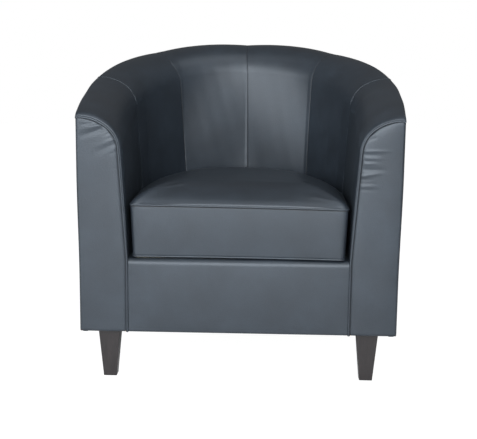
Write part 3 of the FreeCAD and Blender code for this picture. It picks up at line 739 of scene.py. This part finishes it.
pipingLine = facingLine(facingLook["piping"], first=1.0)
pipingLine[:, 1] = wall["front"] + facingLook["piping"]
pipingLine = resample(pipingLine, 3 * mm)
for side, sign, seed in (("right", 1, 51), ("left", -1, 52)):
    line = bowArms(pipingLine * (sign, 1, 1), panel=True)
    makeTube("facingPiping" + side.title(), line, facingLook["piping"], leather,
             replaced=("facing_piping_" + side,), seed=seed)
    # Dark stitching beside each piping: partly the sewn seam, partly painted shade for the groove between piping and
    # facing.
    seamShadeLine = facingLine(2 * facingLook["piping"] + 0.2 * mm, first=1.6)
    seamShadeLine[:, 1] = low("arm_facing_" + side, "y") + facingLook["seam"] * 0.6
    seamShadeLine = bowArms(resample(seamShadeLine, 3 * mm) * (sign, 1, 1), panel=True)
    makeTube("facingSeamShade" + side.title(), seamShadeLine, facingLook["seam"], seamShadeThread, seed=seed)
print("facings made")


borderLook = {"across": 160, "round": 14 * mm, "turnUnder": 16 * mm, "fold": 5 * mm, "full": 2.5 * mm,
              "wave": 0.8 * mm, "behindPiping": 2.5 * mm}


def makeBorder():
    """The front border: up from the foot, over a round edge and back on to the deck."""
    node = "front_border_cover"
    half = high(node, "x") + borderLook["behindPiping"]
    y0, y1 = low(node, "y"), high(node, "y")
    z0, z1 = low(node, "z"), high(node, "z")
    r, fold = borderLook["round"], borderLook["fold"]
    t = np.linspace(0, math.pi / 2, 8)
    y = [np.linspace(y0 + borderLook["turnUnder"], y0 + fold, 4)[:-1], y0 + fold - fold * np.sin(t)]
    z = [np.full(3, z0), z0 + fold - fold * np.cos(t)]
    up = np.linspace(z0 + fold, z1 - r, 50)[1:-1]
    y += [np.full_like(up, y0), y0 + r - r * np.cos(t)]
    z += [up, z1 - r + r * np.sin(t)]
    over = np.linspace(y0 + r, y1, 14)[1:]
    y += [over]
    z += [np.full_like(over, z1)]
    y, z = np.concatenate(y), np.concatenate(z)
    x = np.linspace(-half, half, borderLook["across"])[:, None]
    points = np.stack([x + 0 * y, y + 0 * x, z + 0 * x], -1)
    normals = gridNormals(points)
    if normals[len(x) // 2, len(y) // 2, 1] > 0:
        normals = -normals
    share = np.clip((z - z0) / (z1 - z0), 0, 1)
    bow = np.sin(np.pi * share) ** 0.7 * (1 - (np.abs(x) / half) ** 6)
    move = borderLook["full"] * bow
    move = move + borderLook["wave"] * wander(x + 0.2 * z, 0.16, 61) * bow
    ends = np.exp(-(half - np.abs(x)) / 0.02)
    move = move + 0.6 * mm * wander(z + 0 * x, 0.03, 63) * ends * np.sin(np.pi * share)
    points = points + normals * move[..., None]
    points[..., 2] = np.where(y[None, :] > y0 + r, np.minimum(points[..., 2], z1), points[..., 2])
    makeSkin("frontBorder", points, (0, -1, 0), (node,))


makeBorder()
print("border made")


cushionLook = {
    "corner": 11 * mm,
    "draw": 5 * mm,
    "taper": 5 * mm,
    "frontTaper": 2 * mm,
    "piping": 2.3 * mm,
    "shadeStitch": 1.0 * mm,       # the dark sewn line under the top piping: partly the seam, partly painted shade for the groove there
    "edge": 92,
    "sideRows": 24,
    "crown": 36 * mm,
    "crownReach": 128 * mm,
    "crownPower": 2.0,
    "topLie": (1.2 * mm, -0.009),     # it lies a little crooked: rise in the middle, and slope to the right
    "bottomLie": (0.0, -0.003),
    "edgeRise": 7.5 * mm,
    "edgeReach": 5 * mm,
    "pressure": 3.5,
    "capTop": 2.5 * mm,
    "capSide": 4 * mm,
    "sink": 0.8 * mm,         # the filling lets the skin move in no further than this
}
seamLow = (low("cushion_piping_bottom", "z") + high("cushion_piping_bottom", "z")) / 2
seamHigh = (low("cushion_piping_top", "z") + high("cushion_piping_top", "z")) / 2
cushionHalf = high("cushion_piping_top", "x")
cushionInset = halfPath - cushionHalf
cushionFront = low("cushion_piping_top", "y")


def cushionOutline(inset, share):
    """The D of the cushion, set in by an inset, at a share of its height from the bottom: right side, three arcs a
    side, left side, rounded corner, drawn-in front, rounded corner; many points, anticlockwise from above."""
    taper = cushionLook["taper"] * (1 - share)
    u = cushionInset + inset + taper
    half = halfPath - u
    frontY = cushionFront + inset + cushionLook["frontTaper"] * (1 - share)
    corner, draw = cushionLook["corner"], cushionLook["draw"]
    big = (half * half + draw * draw) / (2 * draw)
    sagY = frontY + draw - big
    cx = half - corner
    cy = sagY + math.sqrt((big + corner) ** 2 - cx ** 2)
    q = np.linspace(wall["armStraight"], 2 * halfLength - wall["armStraight"], 600)
    x, y, turn, side = wallPath(q)
    arcPart = np.stack([side * (x - u * np.cos(turn)), y - u * np.sin(turn)], 1)
    rightSide = np.stack([np.full(60, half), np.linspace(cy, bendY, 60, endpoint=False)], 1)
    leftSide = rightSide[::-1] * (-1, 1)
    touch = math.atan2(sagY - cy, -cx)
    a = np.linspace(0, math.pi - abs(touch), 30)
    leftCorner = np.stack([-cx - corner * np.cos(a), cy - corner * np.sin(a)], 1)
    fx = np.linspace(leftCorner[-1, 0], -leftCorner[-1, 0], 120)[1:-1]
    frontPart = np.stack([fx, sagY + np.sqrt(big ** 2 - fx ** 2)], 1)
    rightCorner = leftCorner[::-1] * (-1, 1)
    return np.vstack([rightSide, arcPart, leftSide, leftCorner, frontPart, rightCorner])


def outlineAt(outline, count, start):
    """Evenly spaced points of a closed outline, the first one nearest to a given point."""
    step = np.linalg.norm(np.diff(np.vstack([outline, outline[:1]]), axis=0), axis=1)
    length = np.concatenate([[0], np.cumsum(step)])
    first = np.argmin(np.linalg.norm(outline - start, axis=1))
    at = (length[first] + np.arange(count) / count * length[-1]) % length[-1]
    closed = np.vstack([outline, outline[:1]])
    return np.stack([np.interp(at, length, closed[:, k]) for k in range(2)], 1)


def squareToOutline(count):
    """A square grid laid on the unit disk: each point's radius and angle, and the grid's border in order."""
    g = np.linspace(-1, 1, count)
    gx, gy = np.meshgrid(g, g, indexing="ij")
    dx, dy = gx * np.sqrt(1 - gy ** 2 / 2), gy * np.sqrt(1 - gx ** 2 / 2)
    radius, angle = np.hypot(dx, dy), np.arctan2(dy, dx)
    n = count - 1
    k = np.arange(n)
    border = np.concatenate([n * count + k, (n - k) * count + n, n - k, k * count])
    return np.minimum(radius, 1.0), angle, border


def crownHeight(inwards):
    """The top's rise above its seam: quickly over the piping, then easing to nearly flat."""
    near = 1 - np.exp(-inwards / cushionLook["edgeReach"])
    reach = np.clip(inwards / cushionLook["crownReach"], 0, 1)
    return cushionLook["edgeRise"] * near + cushionLook["crown"] * (1 - (1 - reach) ** cushionLook["crownPower"])


def lie(which, x):
    middle, slope = cushionLook[which]
    return middle + slope * x


def makeCushionCloth():
    """The cushion's skin as one closed sheet: a square grid for the top and for the bottom, rows for the border."""
    count = cushionLook["edge"]
    radius, angle, border = squareToOutline(count)
    ringCount = len(border)
    startCorner = np.array([cushionHalf, cushionFront])
    pipe = cushionLook["piping"]
    sheets, ringSets = [], []
    borderAngle = angle.ravel()[border] % (2 * np.pi)
    order = np.argsort(borderAngle)
    centre = np.array([0.0, (cushionFront + high("cushion_piping_top", "y")) / 2])
    for share, sign in ((1.0, 1), (0.0, -1)):
        ring = outlineAt(cushionOutline(pipe, share), ringCount, startCorner)
        rel = ring - centre
        xs = np.interp(angle % (2 * np.pi), borderAngle[order], rel[order, 0], period=2 * np.pi)
        ys = np.interp(angle % (2 * np.pi), borderAngle[order], rel[order, 1], period=2 * np.pi)
        inwards = (1 - radius) * np.hypot(xs, ys)
        z = seamHigh + crownHeight(inwards) if sign > 0 else seamLow - pipe + 0 * radius
        z = z + lie("topLie" if sign > 0 else "bottomLie", xs * radius)
        sheets.append(np.stack([centre[0] + xs * radius, centre[1] + ys * radius, z], -1))
        ringSets.append(ring)
    rows = []
    for k in range(1, cushionLook["sideRows"]):
        share = 1 - k / cushionLook["sideRows"]
        ring = ringSets[0] * share + ringSets[1] * (1 - share)
        z = (seamLow + lie("bottomLie", ring[:, 0])) * (1 - share) + (seamHigh + lie("topLie", ring[:, 0])) * share
        rows.append(np.column_stack([ring, z]))
    top = sheets[0].reshape(-1, 3)
    bottom = sheets[1].reshape(-1, 3)
    sideRows = np.vstack(rows)
    points = np.vstack([top, sideRows, bottom])
    size = count * count
    topFaces = gridFaces(count, count)
    bottomStart = size + len(sideRows)
    bottomFaces = gridFaces(count, count)[:, ::-1] + bottomStart
    loops = [border] + [size + np.arange(ringCount) + i * ringCount for i in range(len(rows))] + [border + bottomStart]
    sideFaces = []
    for upper, lower in zip(loops, loops[1:]):
        sideFaces.append(np.stack([upper, lower, np.roll(lower, -1), np.roll(upper, -1)], 1))
    sideFaces = np.vstack(sideFaces)
    a, b, c = (top[i] for i in topFaces[len(topFaces) // 2][:3])
    if np.cross(b - a, c - a)[2] < 0:
        topFaces, bottomFaces = topFaces[:, ::-1], bottomFaces[:, ::-1]
    a, b, c = (points[i] for i in sideFaces[0][:3])
    if np.dot(np.cross(b - a, c - a)[:2], a[:2] - centre) < 0:
        sideFaces = sideFaces[:, ::-1]
    flow = np.roll(ringSets[0], -1, 0) - np.roll(ringSets[0], 1, 0)
    ringOut = np.column_stack([flow[:, 1], -flow[:, 0], 0 * flow[:, 0]])
    ringOut *= np.sign(np.sum(ringOut[:, :2] * (ringSets[0] - centre)))
    ringOut /= np.linalg.norm(ringOut, axis=1, keepdims=True)
    outward = np.vstack([np.tile([[0, 0, 1.0]], (size, 1)), np.tile(ringOut, (len(rows), 1)),
                         np.tile([[0, 0, -1.0]], (size, 1))])
    return points, topFaces, sideFaces, bottomFaces, border, bottomStart, outward


def inflate(points, faces, pinned, look):
    """Cloth under pressure with its seams held; every point's move is then capped."""
    mesh = bpy.data.meshes.new("cushionCloth")
    mesh.from_pydata(points.tolist(), [], faces.tolist())
    cloth = bpy.data.objects.new("cushionCloth", mesh)
    bpy.context.scene.collection.objects.link(cloth)
    group = cloth.vertex_groups.new(name="seams")
    group.add([int(i) for i in pinned], 1.0, "REPLACE")
    modifier = cloth.modifiers.new("inflate", "CLOTH")
    settings = modifier.settings
    settings.quality = 6
    settings.mass = 0.2
    settings.tension_stiffness = 40
    settings.compression_stiffness = 40
    settings.shear_stiffness = 20
    settings.bending_stiffness = 6
    settings.use_pressure = True
    settings.uniform_pressure_force = look["pressure"]
    settings.vertex_group_mass = "seams"
    settings.effector_weights.gravity = 0
    scene = bpy.context.scene
    for step in range(1, 21):
        scene.frame_set(step)
    done = cloth.evaluated_get(bpy.context.evaluated_depsgraph_get()).data
    moved = np.zeros(len(points) * 3)
    done.vertices.foreach_get("co", moved)
    scene.frame_set(1)
    bpy.data.objects.remove(cloth)
    bpy.data.meshes.remove(mesh)
    return moved.reshape(-1, 3)


def makeCushion():
    """The cushion's three covers, cut from one sheet that the cloth simulation has filled, and its pipings."""
    points, topFaces, sideFaces, bottomFaces, border, bottomStart, outward = makeCushionCloth()
    count = cushionLook["edge"] ** 2
    pinned = np.concatenate([border, border + bottomStart])
    moved = inflate(points, np.vstack([topFaces, sideFaces, bottomFaces]), pinned, cushionLook)
    shift = moved - points
    sunk = np.minimum(np.sum(shift * outward, axis=1, keepdims=True) + cushionLook["sink"], 0)
    shift = shift - sunk * outward
    size = np.linalg.norm(shift, axis=1, keepdims=True)
    cap = np.full((len(points), 1), cushionLook["capSide"])
    cap[:count] = cushionLook["capTop"]
    print("cushion moved by up to", round(float(size.max()) / mm, 1), "mm")
    shift = shift * cap * np.tanh(size / cap) / np.maximum(size, 1e-9)
    shift[bottomStart:] = 0
    points = points + shift
    for name, faces, node in (("cushionTop", topFaces, "cushion_top_cover"),
                              ("cushionBorder", sideFaces, "cushion_border"),
                              ("cushionBottom", bottomFaces, "cushion_bottom_cover")):
        index, flat = np.unique(faces, return_inverse=True)
        piece = newPiece(name, points[index], flat.reshape(faces.shape), leather, body="cushion", replaced=(node,))
        thicken(piece)
    pipe, shadeStitch = cushionLook["piping"], cushionLook["shadeStitch"]
    top, bottom = "cushion_piping_top", "cushion_piping_bottom"
    for name, share, z, way, radius, material, replaced, slot in (
            ("cushionPipingTop", 1.0, seamHigh, "topLie", pipe, leather, (top,), top),
            ("cushionPipingBottom", 0.0, seamLow, "bottomLie", pipe, leather, (bottom,), bottom),
            # the dark stitching under the top piping is partly painted shade for the groove below it
            ("cushionSeamShade", 1.0, seamHigh - pipe - shadeStitch * 0.7, "topLie", shadeStitch, seamShadeThread, (), top)):
        ring = outlineAt(cushionOutline(pipe, share), 640, np.array([cushionHalf, cushionFront]))
        path = np.column_stack([ring, z + lie(way, ring[:, 0])])
        makeTube(name, path, radius, material, "cushion", replaced, closed=True)


makeCushion()
print("cushion made")


def dress(names, material):
    """Gives CAD nodes their material."""
    for name in names:
        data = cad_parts[name].data
        data.materials.clear()
        data.materials.append(material)


sides = ("left", "right")
dress([f"{end}_leg_{side}" for end in ("front", "rear") for side in sides], stainedBeech)
dress([f"{part}_{side}" for part in ("base_rail", "top_rail") for side in sides + ("back",)], birchPly)
dress([f"{part}_{side}" for part in ("arm_front_panel", "side_rib", "back_rib") for side in sides], birchPly)
dress(["middle_rib", "front_rail", "back_seat_rail"], birchPly)
dress([f"{part}_{side}" for part in ("inner_board", "outer_board") for side in sides + ("back",)], hardboard)
dress([f"{part}_foam_{side}" for part in ("arm", "side") for side in sides], foam)
dress(["back_foam", "deck_foam", "cushion_core"], foam)
dress(["deck_felt"], felt)
dress(["deck_cloth", "dust_cover"], spunCloth)
dress(["seat_springs", "spring_clips", "leg_bolts", "tee_nuts"], zincSteel)
dress(["cushion_zip"], zipNylon)
dress(["zip_slider"], blackZinc)
print("frame pieces dressed")


# Stage, lights and camera
stage = {
    "floorSize": 14.0,
    "floor": "#f2f2f2",
    "floorWhite": 1.22,
    "floorShare": 0.8,
    "ambient": 0.2,
    "cool": (0.95, 0.98, 1.0),
    "key": (3.0, (0.0, -3.6, 1.85), 195.0),     # size, place, power
    "top": (2.0, (0.4, -0.8, 3.4), 22.0),
    "side": (1.8, (-2.4, -2.9, 1.3), 66.0),
}


def makeFloor():
    half = stage["floorSize"] / 2
    points = np.array([[-half, -half, 0], [half, -half, 0], [half, half, 0], [-half, half, 0]])
    mesh = bpy.data.meshes.new("floor")
    mesh.from_pydata(points.tolist(), [], [[0, 1, 2, 3]])
    floor = bpy.data.objects.new("floor", mesh)
    bpy.context.scene.collection.objects.link(floor)
    material = bpy.data.materials.new("painted studio floor")
    material.use_nodes = True
    tree = material.node_tree
    tree.nodes.clear()
    paint = addNode(tree, "ShaderNodeBsdfDiffuse", {"Color": linear(stage["floor"])})
    white = addNode(tree, "ShaderNodeEmission", {"Color": (1, 1, 1, 1), "Strength": stage["floorWhite"]})
    ray = addNode(tree, "ShaderNodeLightPath")
    share = addNode(tree, "ShaderNodeMath", {1: stage["floorShare"]}, {0: (ray, "Is Camera Ray")}, operation="MULTIPLY")
    both = addNode(tree, "ShaderNodeMixShader", links={0: (share, 0), 1: (paint, 0), 2: (white, 0)})
    addNode(tree, "ShaderNodeOutputMaterial", links={"Surface": (both, 0)})
    mesh.materials.append(material)


def makeWorld():
    world = bpy.data.worlds.new("studio")
    bpy.context.scene.world = world
    world.use_nodes = True
    tree = world.node_tree
    tree.nodes.clear()
    ray = addNode(tree, "ShaderNodeLightPath")
    dim = addNode(tree, "ShaderNodeBackground", {"Color": (1, 1, 1, 1), "Strength": stage["ambient"]})
    white = addNode(tree, "ShaderNodeBackground", {"Color": (1, 1, 1, 1), "Strength": 1.0})
    seen = addNode(tree, "ShaderNodeMath", links={0: (ray, "Is Camera Ray"), 1: (ray, "Is Transmission Ray")},
                   operation="MAXIMUM")
    both = addNode(tree, "ShaderNodeMixShader", links={0: (seen, 0), 1: (dim, 0), 2: (white, 0)})
    addNode(tree, "ShaderNodeOutputWorld", links={"Surface": (both, 0)})


def makeLamp(name, size, place, power, aim=(0, 0, 0.4)):
    lamp = bpy.data.lights.new(name, "AREA")
    lamp.shape = "DISK"
    lamp.size = size
    lamp.energy = power
    lamp.color = stage["cool"]
    obj = bpy.data.objects.new(name, lamp)
    obj.location = place
    obj.rotation_euler = (Vector(aim) - Vector(place)).to_track_quat("-Z", "Y").to_euler()
    bpy.context.scene.collection.objects.link(obj)


photoCamera = {
    "away": 2.300,        # in front of the arm facings
    "height": 0.7919,
    "across": 0.0675,
    "pitch": 0.1724,      # radians below level
    "yaw": -0.0292,
    "roll": 0.0110,
    "focal": 1016.6,      # in pixels of the 477 by 439 frame
    "centre": 238.9,
    "frameWidth": 477.0,
}


def makeCamera():
    c = photoCamera
    yaw, pitch, roll = c["yaw"], c["pitch"], c["roll"]
    forward = Vector((math.sin(yaw) * math.cos(pitch), math.cos(yaw) * math.cos(pitch), -math.sin(pitch)))
    right = Vector((math.cos(yaw), -math.sin(yaw), 0))
    up = right.cross(forward)
    right, up = math.cos(roll) * right + math.sin(roll) * up, -math.sin(roll) * right + math.cos(roll) * up
    place = Vector((c["across"], wall["front"] - c["away"], c["height"]))
    data = bpy.data.cameras.new("photoCamera")
    data.sensor_fit = "HORIZONTAL"
    data.lens = c["focal"] / c["frameWidth"] * data.sensor_width
    data.shift_x = (c["frameWidth"] / 2 - c["centre"]) / c["frameWidth"]
    camera = bpy.data.objects.new("photoCamera", data)
    bpy.context.scene.collection.objects.link(camera)
    camera.matrix_world = Matrix.Translation(place) @ Matrix((right, up, -forward)).transposed().to_4x4()
    bpy.context.scene.camera = camera


makeFloor()
makeWorld()
makeLamp("key softbox", *stage["key"])
makeLamp("top softbox", *stage["top"])
makeLamp("side softbox", *stage["side"])
makeCamera()
bpy.context.scene.view_settings.view_transform = "Standard"
print("stage set")
